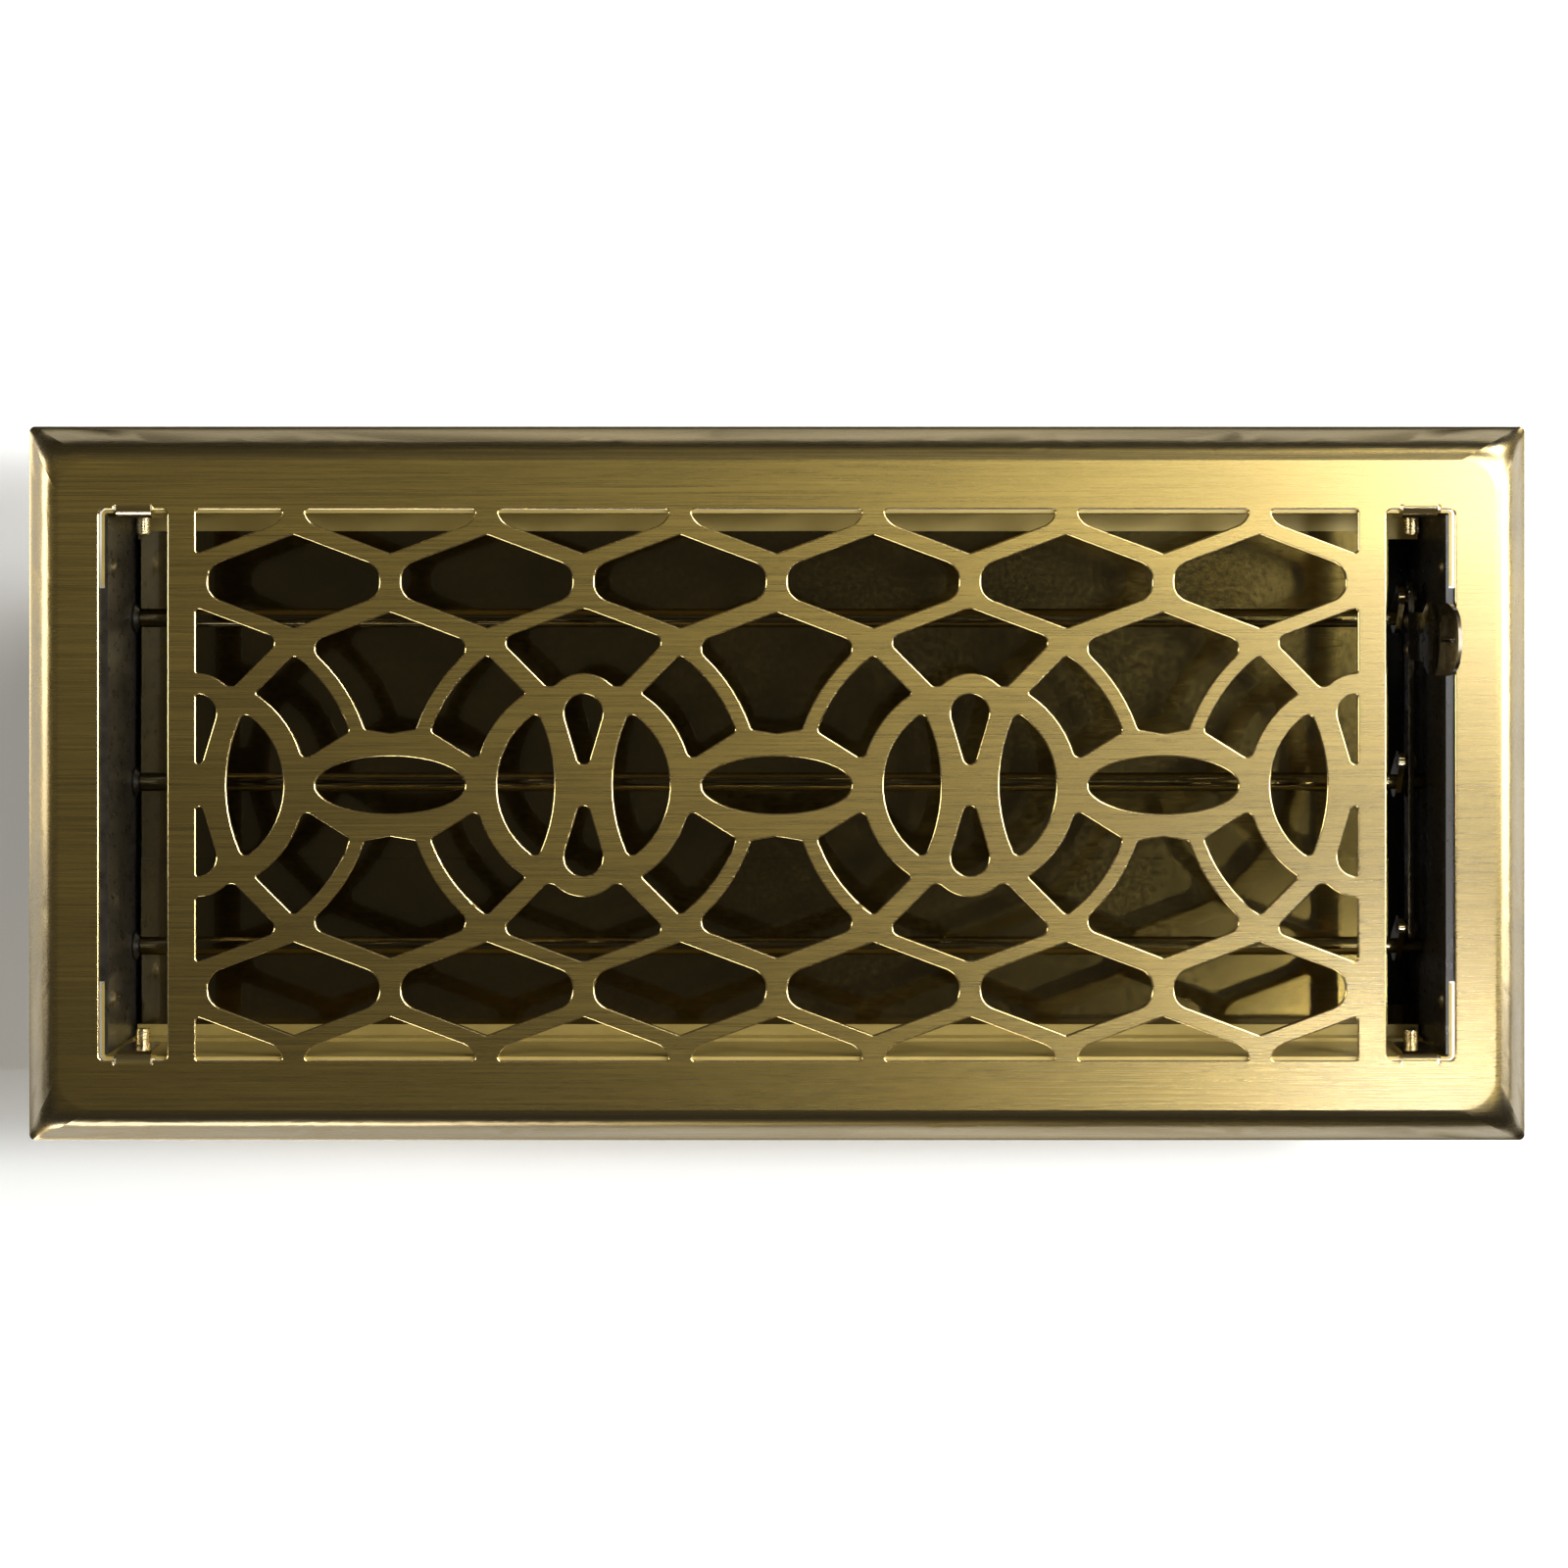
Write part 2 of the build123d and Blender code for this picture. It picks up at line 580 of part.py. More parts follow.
def spring_washer(pivot):
    """A coned washer that keeps the blade from swinging by itself."""
    bore = ROD_RADIUS + ROD_CLEARANCE
    rim = WASHER_DIAMETER / 2
    wall_side = -END_INNER + WASHER_GAP
    outline = polygon(
        (BLADE_LEFT, bore), (BLADE_LEFT - WASHER_SHEET, bore),
        (wall_side, rim), (wall_side + WASHER_SHEET, rim),
    )
    return Pos(0, pivot, PIVOT_HEIGHT) * revolve(outline, Axis.X, 360)


def rod_retainers(pivot):
    """Push-on retainers outside both end walls."""
    washer = Circle(RETAINER_DIAMETER / 2) - Circle(ROD_RADIUS)
    outer = END_OUTER + RETAINER_GAP
    pair = [along_x(washer, outer, RETAINER_SHEET)]
    pair.append(along_x(washer, -outer - RETAINER_SHEET, RETAINER_SHEET))
    return Compound(children=[Pos(0, pivot, PIVOT_HEIGHT) * piece for piece in pair])


def crank_arm(pivot):
    hub = Circle(CRANK_HUB_RADIUS)
    tip = Pos(PIN_OFFSET_Y, PIN_OFFSET_Z) * Circle(CRANK_TIP_RADIUS)
    outline = make_hull([hub.edge(), tip.edge()])
    outline -= Circle(ROD_RADIUS)
    outline -= Pos(PIN_OFFSET_Y, PIN_OFFSET_Z) * Circle(PIN_DIAMETER / 2)
    return along_x(Pos(pivot, PIVOT_HEIGHT) * outline, CRANK_X, CRANK_SHEET)


def crank_pin(pivot):
    centre = Pos(pivot + PIN_OFFSET_Y, PIN_LEVEL)
    head_start = STEM_X + PIN_HEAD_GAP
    pin = along_x(centre * Circle(PIN_DIAMETER / 2), CRANK_X, head_start - CRANK_X)
    return pin + along_x(centre * Circle(PIN_HEAD_DIAMETER / 2), head_start, PIN_HEAD)


# ---------------------------------------------------------------- linkage
def lever_rivet_places():
    return [(LEVER_Y + side * LEVER_RIVET_PITCH / 2, PIN_LEVEL) for side in (1, -1)]


def tie_bar():
    pins = [pivot + PIN_OFFSET_Y for pivot in PIVOTS]
    first, last = pins[-1] - BAR_END, pins[0] + BAR_END
    outline = Pos((first + last) / 2, PIN_LEVEL) * SlotOverall(last - first, BAR_HEIGHT)
    for number, pin in enumerate(pins):
        clearance = OPEN_PIN_CLEARANCE if number in OPEN_PINS else PIN_CLEARANCE
        outline -= Pos(pin, PIN_LEVEL) * Circle(PIN_DIAMETER / 2 + clearance)
    for place in lever_rivet_places():
        outline -= Pos(*place) * Circle(LEVER_RIVET_DIAMETER / 2)
    return along_x(outline, BAR_X, BAR_SHEET)


def lever():
    """A flat stem riveted to the tie bar, and a tongue that leans outwards above the face."""
    stem_low = PIN_LEVEL - BAR_HEIGHT / 2
    shoulder = stem_low + STEM_SHOULDER
    bend = FACE_TOP
    half_stem, half_tongue = STEM_WIDTH / 2, TONGUE_WIDTH / 2
    right = [
        (half_stem, stem_low),
        (half_stem, shoulder),
        (half_tongue, shoulder + STEM_FLARE),
        (half_tongue, bend),
    ]
    left = [(-y, z) for y, z in reversed(right)]
    stem = polygon(*[(LEVER_Y + y, z) for y, z in right + left])
    for place in lever_rivet_places():
        stem -= Pos(*place) * Circle(LEVER_RIVET_DIAMETER / 2)
    body = along_x(stem, STEM_X, LEVER_SHEET)

    hinge_x = STEM_X + LEVER_SHEET + TONGUE_BEND_RADIUS
    ring = Circle(TONGUE_BEND_RADIUS + LEVER_SHEET) - Circle(TONGUE_BEND_RADIUS)
    lean = radians(TONGUE_LEAN)
    reach = 3 * TONGUE_BEND_RADIUS
    wedge = polygon((0, 0), (-reach, 0), (-reach * cos(lean), reach * sin(lean)))
    fold = along_y(Pos(hinge_x, bend) * (ring & wedge), LEVER_Y - half_tongue, TONGUE_WIDTH)

    tip = TONGUE_LENGTH
    outline = make_face(
        Polyline((half_tongue, tip - TONGUE_BULGE), (half_tongue, 0), (-half_tongue, 0),
                 (-half_tongue, tip - TONGUE_BULGE))
        + ThreePointArc((-half_tongue, tip - TONGUE_BULGE), (0, tip),
                        (half_tongue, tip - TONGUE_BULGE))
    )
    outline = fillet(outline.vertices().group_by(Axis.Y)[-1], TONGUE_CORNER_RADIUS)
    bow = make_face(
        ThreePointArc((0, half_tongue), (TONGUE_BOW, 0), (0, -half_tongue))
        + Line((0, -half_tongue), (LEVER_SHEET, -half_tongue))
        + ThreePointArc((LEVER_SHEET, -half_tongue), (LEVER_SHEET + TONGUE_BOW, 0),
                        (LEVER_SHEET, half_tongue))
        + Line((LEVER_SHEET, half_tongue), (0, half_tongue))
    )
    bowed = extrude(Pos(STEM_X, LEVER_Y, bend) * bow, tip)
    upright = bowed & along_x(Pos(LEVER_Y, bend) * outline, STEM_X, LEVER_SHEET + TONGUE_BOW)
    rib_x = STEM_X + TONGUE_BOW
    rib_middle = bend + tip - RIB_FROM_TIP - RIB_LENGTH / 2
    rib_half = (RIB_LENGTH - RIB_WIDTH) / 2
    rib = Pos(rib_x, LEVER_Y, rib_middle) * Cylinder(RIB_WIDTH / 2, 2 * rib_half)
    for end in (rib_half, -rib_half):
        rib += Pos(rib_x, LEVER_Y, rib_middle + end) * Sphere(RIB_WIDTH / 2)
    ribbed = upright + rib
    hinge = Axis((hinge_x, 0, bend), (0, 1, 0))
    return body + fold + ribbed.rotate(hinge, TONGUE_LEAN)


def lever_rivets():
    rivet = domed_rivet(
        BAR_X, STEM_X + LEVER_SHEET, LEVER_RIVET_DIAMETER, LEVER_RIVET_HEAD_DIAMETER,
        LEVER_RIVET_HEAD, LEVER_RIVET_HEAD,
    )
    return Compound(children=[Pos(0, y, z) * rivet for y, z in lever_rivet_places()])


# ---------------------------------------------------------------- nodes
def build_nodes():
    nodes = {
        "face_plate": face_plate(),
        "side_wall_rear": side_wall(),
        "side_wall_front": mirror(side_wall(), about=Plane.XZ),
        "end_wall_right": end_wall(),
        "end_wall_left": mirror(end_wall(), about=Plane.YZ),
        "blade_stop_rear": closing_stop(1),
        "blade_stop_front": closing_stop(-1),
        "box_screws": box_screws(),
        "corner_rivets": corner_rivets(),
        "tie_bar": tie_bar(),
        "thumb_lever": lever(),
        "lever_rivets": lever_rivets(),
    }
    for number, pivot in enumerate(PIVOTS, start=1):
        nodes[f"louvre_{number}"] = louvre(pivot)
        nodes[f"pivot_rod_{number}"] = pivot_rod(pivot)
        nodes[f"spring_washer_{number}"] = spring_washer(pivot)
        nodes[f"rod_retainers_{number}"] = rod_retainers(pivot)
        nodes[f"crank_arm_{number}"] = crank_arm(pivot)
        nodes[f"crank_pin_{number}"] = crank_pin(pivot)
    return nodes


os.makedirs("parts", exist_ok=True)
for name, shape in build_nodes().items():
    export_step(shape, f"parts/{name}.step")
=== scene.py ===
"""Floor register: materials, threaded screws, floor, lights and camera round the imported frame."""
import json
from math import cos, pi, radians, sin

import bmesh
import bpy
from mathutils import Matrix, Vector


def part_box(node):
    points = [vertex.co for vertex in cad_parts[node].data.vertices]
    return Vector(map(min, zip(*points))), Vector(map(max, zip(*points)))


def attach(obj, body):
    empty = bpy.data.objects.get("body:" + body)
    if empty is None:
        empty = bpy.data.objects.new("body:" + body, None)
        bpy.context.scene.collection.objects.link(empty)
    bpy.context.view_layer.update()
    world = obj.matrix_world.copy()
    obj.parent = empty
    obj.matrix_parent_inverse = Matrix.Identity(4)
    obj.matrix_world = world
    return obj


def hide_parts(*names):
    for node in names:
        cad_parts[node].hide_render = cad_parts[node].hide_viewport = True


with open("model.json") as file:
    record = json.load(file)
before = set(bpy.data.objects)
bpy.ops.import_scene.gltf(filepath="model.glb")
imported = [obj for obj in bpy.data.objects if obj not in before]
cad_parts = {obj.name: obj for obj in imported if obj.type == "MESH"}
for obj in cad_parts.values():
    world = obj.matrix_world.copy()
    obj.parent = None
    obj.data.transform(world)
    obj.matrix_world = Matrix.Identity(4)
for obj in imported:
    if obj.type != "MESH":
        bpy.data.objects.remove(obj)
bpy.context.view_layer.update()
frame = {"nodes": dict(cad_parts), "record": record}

NODES = frame["nodes"]
MM = 0.001
FACE_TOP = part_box("face_plate")[1].z


# ---------------------------------------------------------------- node helpers
class Shader:
    """A material with one Principled shader, and short calls for the nodes that feed it."""

    def __init__(self, name, **sockets):
        self.material = bpy.data.materials.new(name)
        self.material.use_nodes = True
        self.tree = self.material.node_tree
        self.principled = self.tree.nodes["Principled BSDF"]
        for socket, value in sockets.items():
            self.principled.inputs[socket.replace("_", " ")].default_value = value

    def node(self, kind, **settings):
        made = self.tree.nodes.new(kind)
        for key, value in settings.items():
            setattr(made, key, value)
        return made

    def link(self, source, target):
        self.tree.links.new(source, target)

    def feed(self, socket, source):
        self.link(source, self.principled.inputs[socket])

    def place(self, stretch):
        """The object's own coordinates, scaled per axis: large numbers make fine detail."""
        coordinates = self.node("ShaderNodeTexCoord")
        mapping = self.node("ShaderNodeMapping")
        mapping.inputs["Scale"].default_value = stretch
        self.link(coordinates.outputs["Object"], mapping.inputs["Vector"])
        return mapping.outputs["Vector"]

    def noise(self, stretch, detail=4.0, roughness=0.6, distortion=0.0):
        """Noise from 0 to 1, with a feature about 1 m divided by the stretch on each axis."""
        made = self.node("ShaderNodeTexNoise")
        made.inputs["Scale"].default_value = 1.0
        made.inputs["Detail"].default_value = detail
        made.inputs["Roughness"].default_value = roughness
        made.inputs["Distortion"].default_value = distortion
        self.link(self.place(stretch), made.inputs["Vector"])
        return made.outputs["Fac"]

    def spread(self, value, low, high, from_low=0.3, from_high=0.7):
        """The value moved from one range to another, and held inside it."""
        made = self.node("ShaderNodeMapRange")
        made.inputs["From Min"].default_value = from_low
        made.inputs["From Max"].default_value = from_high
        made.inputs["To Min"].default_value = low
        made.inputs["To Max"].default_value = high
        self.link(value, made.inputs["Value"])
        return made.outputs["Result"]

    def blend(self, amount, first, second):
        """A colour between two; each is a colour or an output."""
        made = self.node("ShaderNodeMix", data_type="RGBA")
        self.link(amount, made.inputs["Factor"])
        for name, value in (("A", first), ("B", second)):
            socket = [s for s in made.inputs if s.name == name and s.type == "RGBA"][0]
            if isinstance(value, tuple):
                socket.default_value = (*value, 1.0)
            else:
                self.link(value, socket)
        return [s for s in made.outputs if s.type == "RGBA"][0]

    def mottle(self, noise, first, second):
        """Two tones of one colour, mixed by a noise."""
        return self.blend(self.spread(noise, 0, 1), first, second)

    def maths(self, operation, first, second):
        """One sum on two values; each is a number or an output."""
        made = self.node("ShaderNodeMath", operation=operation)
        for socket, value in zip(made.inputs, (first, second)):
            if isinstance(value, (int, float)):
                socket.default_value = value
            else:
                self.link(value, socket)
        return made.outputs["Value"]

    def bump(self, height, depth_mm, under=None):
        """Turns the shading normal by a height from 0 to 1 that stands for depth_mm."""
        made = self.node("ShaderNodeBump")
        made.inputs["Strength"].default_value = 1.0
        made.inputs["Distance"].default_value = depth_mm * MM
        self.link(height, made.inputs["Height"])
        if under is not None:
            self.link(under, made.inputs["Normal"])
        return made.outputs["Normal"]

    def facing_up(self):
        """1 where the surface faces up or down, 0 on upright walls and over rounded edges."""
        coordinates = self.node("ShaderNodeTexCoord")
        parts = self.node("ShaderNodeSeparateXYZ")
        self.link(coordinates.outputs["Normal"], parts.inputs["Vector"])
        upright = self.maths("ABSOLUTE", parts.outputs["Z"], 0.0)
        return self.spread(upright, 0.0, 1.0, *FLAT_FROM)

    def outside(self, reach_x, reach_y):
        """1 beyond either reach from the middle of the plate, 0 within both, with a soft step."""
        coordinates = self.node("ShaderNodeTexCoord")
        parts = self.node("ShaderNodeSeparateXYZ")
        self.link(coordinates.outputs["Object"], parts.inputs["Vector"])
        steps = []
        for axis, reach in (("X", reach_x), ("Y", reach_y)):
            distance = self.maths("ABSOLUTE", parts.outputs[axis], 0.0)
            steps.append(self.spread(distance, 0.0, 1.0, reach - RIM_BLEND, reach + RIM_BLEND))
        return self.maths("MAXIMUM", steps[0], steps[1])

    def along_x(self):
        """Brushing runs along X, so the anisotropic highlight spreads across it."""
        direction = self.node("ShaderNodeCombineXYZ")
        direction.inputs["X"].default_value = 1.0
        self.feed("Tangent", direction.outputs["Vector"])


# ---------------------------------------------------------------- materials
FLAT_FROM = (0.90, 0.995)
RIM_REACH = 8.0 * MM
RIM_BLEND = 1.5 * MM
# painted shade: dark brass tones for the sloping rim, standing in for the dim surroundings it
# reflects
RIM_SHADE_TONES = ((0.11, 0.074, 0.012), (0.19, 0.13, 0.024))


def antique_brass():
    """Horizontally brushed brass under a toned lacquer; rounded edges are smoother and painted
    lighter, partly polish and partly a painted highlight; the sloping rim is painted darker as
    shade.
    """
    shader = Shader(
        "antique_brass", Metallic=1.0, Anisotropic=0.6,
        Coat_Weight=1.0, Coat_Roughness=0.24, Coat_IOR=1.7,
    )
    shader.along_x()
    flat = shader.facing_up()
    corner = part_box("face_plate")[1]
    rim = shader.outside(corner.x - RIM_REACH, corner.y - RIM_REACH)
    hairlines = shader.noise((30, 5200, 5200), detail=3, roughness=0.7)
    streaks = shader.noise((12, 1500, 1500), detail=5, roughness=0.65)
    smoke = shader.noise((5, 26, 26), detail=3, roughness=0.55, distortion=0.3)
    grain = shader.mottle(streaks, (0.295, 0.200, 0.038), (0.320, 0.219, 0.044))
    toned = shader.blend(shader.spread(smoke, 0, 0.5, 0.35, 0.65), grain, (0.18, 0.124, 0.021))
    # painted highlight: upright walls and rounded edges get a light brass colour, partly polish and
    # partly the light these edges would catch
    edges = shader.blend(flat, (0.72, 0.55, 0.20), toned)
    # painted shade: the sloping rim gets these much darker tones in place of the plate's own brass
    shaded_rim = shader.mottle(smoke, *RIM_SHADE_TONES)
    shader.feed("Base Color", shader.blend(rim, edges, shaded_rim))
    brushed = shader.spread(streaks, 0.265, 0.30)
    fine = shader.maths("ADD", brushed, shader.spread(hairlines, -0.04, 0.04))
    edge_polish = shader.maths("MAXIMUM", shader.spread(flat, 0.6, 1.0, 0, 1), rim)
    shader.feed("Roughness", shader.maths("MULTIPLY", fine, edge_polish))
    lines = shader.bump(hairlines, 0.008)
    shader.feed("Normal", shader.bump(streaks, 0.003, lines))
    return shader.material


def lacquered_steel():
    """The box's bronze-gold lacquer over cold-rolled sheet."""
    shader = Shader("lacquered_steel", Metallic=0.5, Coat_Weight=0.3, Coat_Roughness=0.25)
    mottle = shader.noise((60, 60, 60), detail=3)
    rolling = shader.noise((14, 420, 420), detail=3)
    shader.feed("Base Color", shader.mottle(mottle, (0.37, 0.27, 0.07), (0.44, 0.33, 0.095)))
    shader.feed("Roughness", shader.spread(rolling, 0.38, 0.5))
    shader.feed("Normal", shader.bump(rolling, 0.012))
    return shader.material


def blade_enamel():
    """Dark bronze blades with a glossy clear coat, faintly wavy as thin sheet is."""
    shader = Shader("blade_enamel", Metallic=1.0, Coat_Weight=1.0, Coat_Roughness=0.04)
    tone = shader.noise((24, 40, 40), detail=3)
    waves = shader.noise((9, 26, 26), detail=1)
    orange_peel = shader.noise((700, 700, 700), detail=2)
    shader.feed("Base Color", shader.mottle(tone, (0.11, 0.079, 0.020), (0.16, 0.115, 0.032)))
    shader.feed("Roughness", shader.spread(orange_peel, 0.13, 0.2))
    wavy = shader.bump(waves, 0.15)
    shader.feed("Normal", shader.bump(orange_peel, 0.002, wavy))
    return shader.material


def end_enamel():
    """A near-black, semi-gloss surface for the end walls."""
    shader = Shader("end_enamel", Metallic=0.0, IOR=1.45, Coat_Weight=0.2, Coat_Roughness=0.2)
    mottle = shader.noise((320, 320, 320), detail=3)
    shader.feed("Base Color", shader.mottle(mottle, (0.012, 0.010, 0.007), (0.022, 0.018, 0.012)))
    shader.feed("Roughness", shader.spread(mottle, 0.24, 0.4))
    shader.feed("Normal", shader.bump(mottle, 0.006))
    return shader.material


def lever_bronze():
    """The tie bar's and the lever's dark bronze, under a thin coat with fine scuffs."""
    shader = Shader("lever_bronze", Metallic=1.0, Coat_Weight=0.7, Coat_Roughness=0.08)
    tone = shader.noise((160, 160, 160), detail=3)
    scuffs = shader.noise((900, 260, 260), detail=4)
    shader.feed("Base Color", shader.mottle(tone, (0.035, 0.027, 0.014), (0.065, 0.050, 0.026)))
    shader.feed("Roughness", shader.spread(scuffs, 0.16, 0.32))
    shader.feed("Normal", shader.bump(scuffs, 0.004))
    return shader.material


def drawn_steel(name, low, high, roughness):
    """Dark-oxide steel with fine drawing lines along X; low and high are its two tones."""
    shader = Shader(name, Metallic=1.0)
    lines = shader.noise((60, 4200, 4200), detail=3)
    tone = shader.noise((220, 220, 220), detail=3)
    shader.feed("Base Color", shader.mottle(tone, low, high))
    shader.feed("Roughness", shader.spread(lines, roughness, roughness + 0.14))
    shader.feed("Normal", shader.bump(lines, 0.006))
    return shader.material


def yellow_zinc():
    """Yellow-passivated zinc on the screws."""
    shader = Shader("yellow_zinc", Metallic=1.0)
    tone = shader.noise((500, 500, 500), detail=3)
    shader.feed("Base Color", shader.mottle(tone, (0.70, 0.56, 0.28), (0.80, 0.70, 0.44)))
    shader.feed("Roughness", shader.spread(tone, 0.2, 0.34))
    shader.feed("Normal", shader.bump(tone, 0.004))
    return shader.material


def paint_nodes():
    """Gives every CAD node the material of its slot."""
    by_slot = {
        "end_enamel": end_enamel(),
        "antique_brass": antique_brass(),
        "lacquered_steel": lacquered_steel(),
        "blade_enamel": blade_enamel(),
        "lever_bronze": lever_bronze(),
        "rod_steel": drawn_steel("rod_steel", (0.085, 0.066, 0.03), (0.13, 0.10, 0.045), 0.26),
        "spring_steel": drawn_steel("spring_steel", (0.05, 0.047, 0.042), (0.08, 0.075, 0.066), 0.3),
        "rivet_steel": drawn_steel("rivet_steel", (0.12, 0.10, 0.06), (0.18, 0.15, 0.09), 0.3),
        "screw_steel": yellow_zinc(),
    }
    for subpart in frame["record"]["subparts"]:
        node = NODES[subpart["node"]]
        node.data.materials.clear()
        node.data.materials.append(by_slot[subpart["material_slot"]])
    return by_slot


# ---------------------------------------------------------------- screws
THREAD_PITCH = 0.7 * MM
THREAD_DEPTH = 0.4 * MM
THREAD_RADIUS = 2.0 * MM
SCREW_LENGTH = 6.5 * MM
SCREW_TIP = 0.35 * MM
TIP_TAPER = 0.18
HEAD_RADIUS = 3.8 * MM
HEAD_HEIGHT = 2.4 * MM
RECESS_HALF = 2.2 * MM
RECESS_HALF_WIDTH = 0.45 * MM
RECESS_DEPTH = 1.3 * MM
HEAD_RIM_SHARE = 0.45
HEAD_FLAT_SHARE = 0.55
FIRST_TURN = 17
NEXT_TURN = 41
TURN_STEPS = 28
HEAD_STEPS = 10
MERGE = 1e-6
TIP_MERGE = 1e-7


def threaded_shank(mesh):
    """A helical V thread as one skin, from the head seat at 0 down to the tip at -Z."""
    root = THREAD_RADIUS - THREAD_DEPTH
    profile = ((0.0, root), (0.25, root), (0.45, THREAD_RADIUS), (0.6, THREAD_RADIUS), (0.8, root))
    turns = int(SCREW_LENGTH / THREAD_PITCH) + 2
    rings = []
    for turn in range(turns):
        for share, radius in profile:
            rings.append(((turn + share) * THREAD_PITCH, radius))
    columns = []
    for step in range(TURN_STEPS):
        angle = 2 * pi * step / TURN_STEPS
        rise = THREAD_PITCH * step / TURN_STEPS - THREAD_PITCH
        column = []
        for depth, radius in rings:
            z = -(depth + rise)
            z = max(min(z, 0.0), -SCREW_LENGTH)
            near_tip = max(0.0, (-z - (SCREW_LENGTH - SCREW_TIP)) / SCREW_TIP)
            tapered = radius * (1 - TIP_TAPER * near_tip)
            column.append(mesh.verts.new((tapered * cos(angle), tapered * sin(angle), z)))
        columns.append(column)
    wrap = len(profile)
    for step in range(TURN_STEPS):
        here = columns[step]
        there = columns[(step + 1) % TURN_STEPS]
        shift = wrap if step == TURN_STEPS - 1 else 0
        for i in range(len(rings) - 1 - wrap):
            a, b = here[i + shift], here[i + shift + 1]
            c, d = there[i + 1], there[i]
            mesh.faces.new((a, b, c, d))


def pan_head(mesh):
    """The head's dome and seat, turned about Z; cut_cross takes the recess out of it."""
    rim, crown = HEAD_HEIGHT * HEAD_RIM_SHARE, HEAD_HEIGHT
    outline = [(0.0, 0.0), (HEAD_RADIUS, 0.0), (HEAD_RADIUS, rim)]
    for step in range(1, HEAD_STEPS + 1):
        angle = radians(90 * step / HEAD_STEPS)
        radius = HEAD_RADIUS * (HEAD_FLAT_SHARE + (1 - HEAD_FLAT_SHARE) * cos(angle))
        outline.append((radius, rim + (crown - rim) * sin(angle)))
    outline.append((0.0, crown))
    profile = [mesh.verts.new((radius, 0.0, z)) for radius, z in outline]
    edges = [mesh.edges.new(pair) for pair in zip(profile, profile[1:])]
    bmesh.ops.spin(
        mesh, geom=profile + edges, cent=(0, 0, 0), axis=(0, 0, 1), angle=2 * pi,
        steps=3 * TURN_STEPS, use_merge=True,
    )
    bmesh.ops.remove_doubles(mesh, verts=mesh.verts, dist=MERGE)
    bmesh.ops.recalc_face_normals(mesh, faces=mesh.faces)


def mesh_object(name, build):
    """An object in the scene whose mesh build() fills in."""
    mesh = bmesh.new()
    build(mesh)
    data = bpy.data.meshes.new(name)
    mesh.to_mesh(data)
    mesh.free()
    made = bpy.data.objects.new(name, data)
    bpy.context.scene.collection.objects.link(made)
    return made


def cut_cross(head):
    """Cuts the cross recess out of the head with two short bars."""
    def bars(mesh):
        for half_x, half_y in ((RECESS_HALF, RECESS_HALF_WIDTH), (RECESS_HALF_WIDTH, RECESS_HALF)):
            size = Matrix.Diagonal((2 * half_x, 2 * half_y, 2 * RECESS_DEPTH, 1))
            place = Matrix.Translation((0, 0, HEAD_HEIGHT))
            bmesh.ops.create_cube(mesh, size=1.0, matrix=place @ size)

    cutter = mesh_object("cross_cutter", bars)
    cut = head.modifiers.new("cross", "BOOLEAN")
    cut.operation = "DIFFERENCE"
    cut.solver = "EXACT"
    cut.use_self = True
    cut.object = cutter
    bpy.context.view_layer.update()
    evaluated = head.evaluated_get(bpy.context.evaluated_depsgraph_get())
    shaped = bpy.data.meshes.new_from_object(evaluated)
    head.modifiers.clear()
    head.data = shaped
    bpy.data.objects.remove(cutter)


def screw_mesh():
    """One finished screw, its seat at the origin and its tip down -Z."""
    head = mesh_object("screw_head", pan_head)
    cut_cross(head)
    shank = mesh_object("screw_shank", threaded_shank)
    joined = bmesh.new()
    joined.from_mesh(head.data)
    joined.from_mesh(shank.data)
    end = [v for v in joined.verts if v.co.z < -SCREW_LENGTH + TIP_MERGE]
    bmesh.ops.remove_doubles(joined, verts=end, dist=TIP_MERGE)
    bmesh.ops.holes_fill(joined, edges=[e for e in joined.edges if e.is_boundary], sides=0)
    bmesh.ops.recalc_face_normals(joined, faces=joined.faces)
    data = bpy.data.meshes.new("box_screw")
    joined.to_mesh(data)
    joined.free()
    bpy.data.objects.remove(head)
    bpy.data.objects.remove(shank)
    return data


def box_screws(material):
    """Four threaded screws in place of the plain ones, each turned to its own recess angle."""
    low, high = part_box("box_screws")
    half_length = (high.x - low.x) / 2 - HEAD_RADIUS
    seat = high.y - HEAD_HEIGHT
    level = (low.z + high.z) / 2
    shape = screw_mesh()
    pieces = []
    for index, (side, end) in enumerate(((1, 1), (1, -1), (-1, 1), (-1, -1))):
        screw = bpy.data.objects.new(f"box_screw_{index + 1}", shape.copy())
        bpy.context.scene.collection.objects.link(screw)
        lay = Matrix.Rotation(radians(-90 * end), 4, "X")
        spin = Matrix.Rotation(radians(FIRST_TURN + NEXT_TURN * index), 4, "Z")
        place = Matrix.Translation((side * half_length, end * seat, level))
        screw.data.transform(place @ lay @ spin)
        screw.data.materials.append(material)
        for face in screw.data.polygons:
            face.use_smooth = False
        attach(screw, "frame")
        pieces.append(screw)
    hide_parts("box_screws")
    return pieces


# ---------------------------------------------------------------- floor, lights, camera
CAMERA_HEIGHT = 0.840
CAMERA_FOOT = (0.007, 0.0618)
VIEW_WIDTH = 0.410
SENSOR_WIDTH = 36.0
SHIFT = (-0.0125, -0.150)
FLOOR_HALF = 6.0


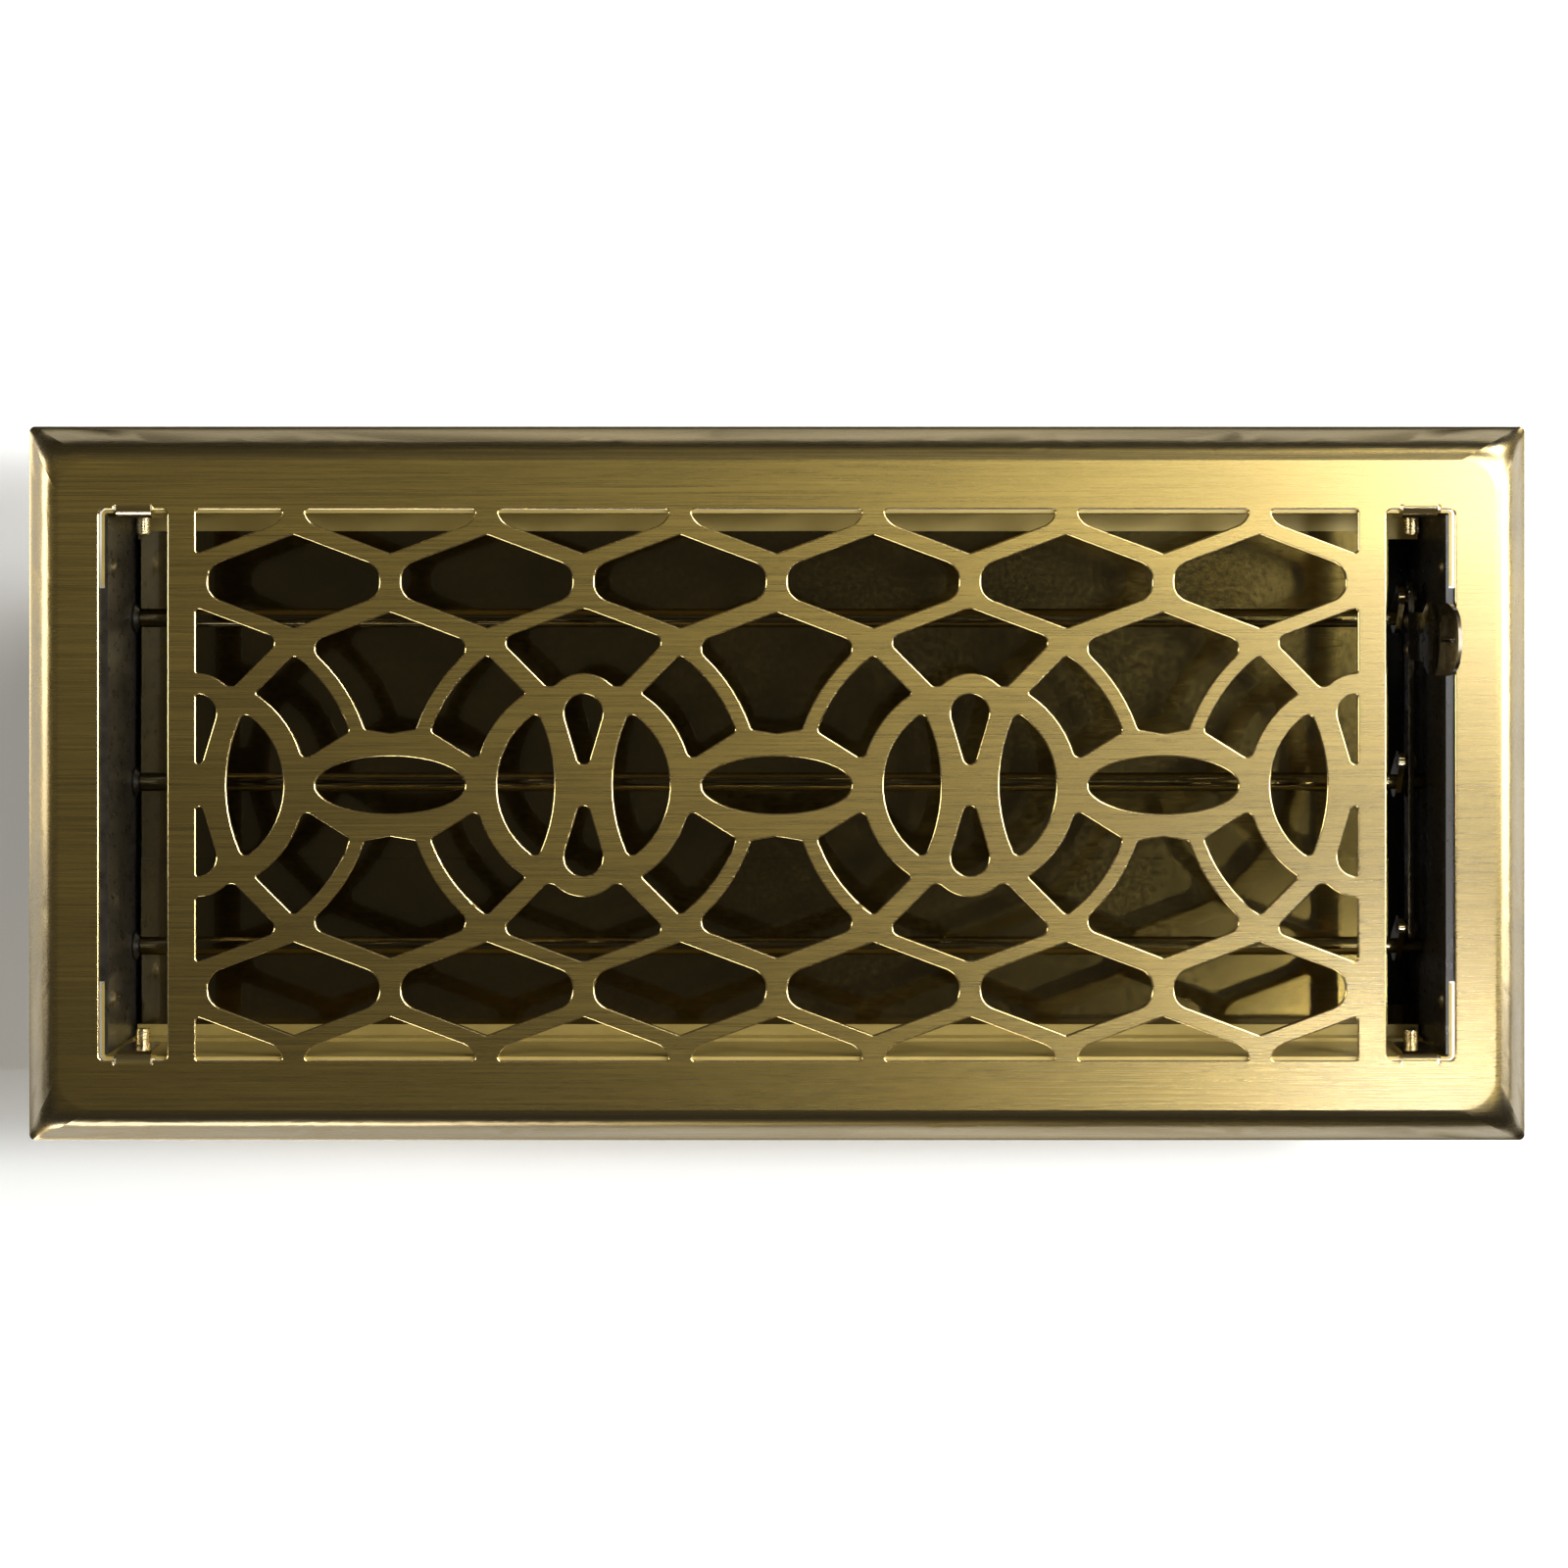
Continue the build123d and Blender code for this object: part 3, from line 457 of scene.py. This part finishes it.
def pale_floor():
    """A plain matt floor at the foot of the box, open to a view from below."""
    data = bpy.data.meshes.new("floor")
    corners = [(x * FLOOR_HALF, y * FLOOR_HALF, 0) for x, y in ((-1, -1), (1, -1), (1, 1), (-1, 1))]
    data.from_pydata(corners, [], [(0, 1, 2, 3)])
    floor = bpy.data.objects.new("floor", data)
    bpy.context.scene.collection.objects.link(floor)
    shader = Shader("pale_floor", Base_Color=(0.93, 0.93, 0.92, 1), Roughness=0.7)
    see_through = shader.node("ShaderNodeBsdfTransparent")
    one_sided = shader.node("ShaderNodeMixShader")
    shader.link(shader.node("ShaderNodeNewGeometry").outputs["Backfacing"], one_sided.inputs["Fac"])
    shader.link(shader.principled.outputs["BSDF"], one_sided.inputs[1])
    shader.link(see_through.outputs["BSDF"], one_sided.inputs[2])
    shader.link(one_sided.outputs["Shader"], shader.tree.nodes["Material Output"].inputs["Surface"])
    floor.data.materials.append(shader.material)


def area_light(name, place, aim, size, power, colour):
    """A soft rectangular light, aimed at a point; size is in metres and power in watts."""
    data = bpy.data.lights.new(name, "AREA")
    data.shape = "RECTANGLE"
    data.size, data.size_y = size
    data.energy = power
    data.color = colour
    light = bpy.data.objects.new(name, data)
    light.location = place
    light.rotation_euler = (Vector(aim) - Vector(place)).to_track_quat("-Z", "Y").to_euler()
    bpy.context.scene.collection.objects.link(light)


def studio():
    """Low warm surroundings, one key and panels to the right, and fills that light the floor."""
    world = bpy.data.worlds.new("studio")
    world.use_nodes = True
    background = world.node_tree.nodes["Background"]
    background.inputs["Color"].default_value = (1.0, 0.92, 0.78, 1)
    background.inputs["Strength"].default_value = 0.07
    bpy.context.scene.world = world
    target = (0.0, 0.0, FACE_TOP)
    area_light("key", (1.25, 1.35, 1.45), target, (0.8, 0.8), 40, (0.97, 0.98, 1.0))
    area_light("right_panel", (0.95, 0.30, 1.5), target, (0.42, 1.1), 24, (0.94, 0.97, 1.0))
    area_light("lamp", (0.41, -0.30, 1.30), target, (0.035, 0.035), 1.3, (1.0, 1.0, 1.0))
    area_light("low_right", (1.6, 0.0, 0.95), target, (0.5, 1.2), 27, (0.98, 0.99, 1.0))
    area_light("low_left", (-2.3, 0.2, 0.55), target, (0.7, 1.2), 30, (1.0, 0.97, 0.90))
    area_light("low_front", (-0.9, -2.3, 0.55), target, (1.2, 0.6), 28, (1.0, 0.98, 0.95))


def camera():
    """A camera straight above the plate, shifted so that the plate stays centred."""
    data = bpy.data.cameras.new("camera")
    data.sensor_width = SENSOR_WIDTH
    data.lens = SENSOR_WIDTH * CAMERA_HEIGHT / VIEW_WIDTH
    data.shift_x, data.shift_y = SHIFT
    view = bpy.data.objects.new("camera", data)
    view.location = (*CAMERA_FOOT, FACE_TOP + CAMERA_HEIGHT)
    bpy.context.scene.collection.objects.link(view)
    bpy.context.scene.camera = view


materials = paint_nodes()
box_screws(materials["screw_steel"])
pale_floor()
studio()
camera()
bpy.context.scene.view_settings.view_transform = "Standard"
